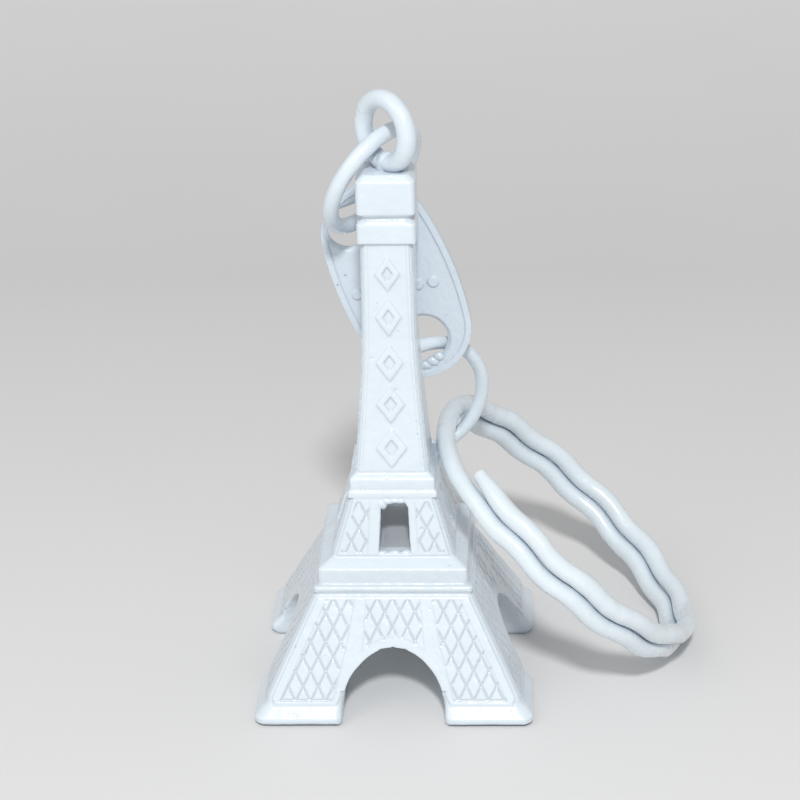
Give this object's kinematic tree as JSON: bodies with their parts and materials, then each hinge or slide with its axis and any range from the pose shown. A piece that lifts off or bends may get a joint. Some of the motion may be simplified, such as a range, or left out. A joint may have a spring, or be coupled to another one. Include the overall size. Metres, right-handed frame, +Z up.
{
  "type": "keychain",
  "caption": "Souvenir keychain: enamelled four-legged tower charm with a head loop, jump rings, a slotted oval tag and a double-turn split key ring.",
  "frame": {"origin": "on the ground under the middle of the tower's four feet", "axes": "+Z up along the tower, -Y is the tower's front face, +X towards the split ring"},
  "size_m": [0.0355, 0.029, 0.0487],
  "materials": {
    "enamel_casting": "gloss",
    "enamel_wire": "gloss",
    "enamel_tag": "gloss"
  },
  "bodies": {
    "tower": {"tower_body": "enamel_casting", "top_eye": "enamel_wire"},
    "upper_ring": {"upper_jump_ring": "enamel_wire"},
    "tag": {"oval_tag": "enamel_tag"},
    "lower_ring": {"lower_jump_ring": "enamel_wire"},
    "key_ring": {"split_ring": "enamel_wire"}
  },
  "joints": [
    {"name": "upper_ring_swing", "type": "hinge", "parent": "tower", "child": "upper_ring", "pos_m": [-0.00036, 0.00038, 0.04497], "axis": [1, 0, 0], "range_deg": [0, 12]},
    {"name": "tag_swing", "type": "hinge", "parent": "upper_ring", "child": "tag", "pos_m": [-0.00215, 0.0046, 0.03699], "axis": [0, -1, 0], "range_deg": [0, 45]},
    {"name": "lower_ring_swing", "type": "hinge", "parent": "tag", "child": "lower_ring", "pos_m": [0.00187, 0.0046, 0.02596], "axis": [0.9336, 0, 0.3584], "range_deg": [0, 6]},
    {"name": "key_ring_swing", "type": "hinge", "parent": "lower_ring", "child": "key_ring", "pos_m": [0.00414, 0.00644, 0.01893], "axis": [-0.0764, -0.9818, 0.1741], "range_deg": [0, 60]}
  ]
}
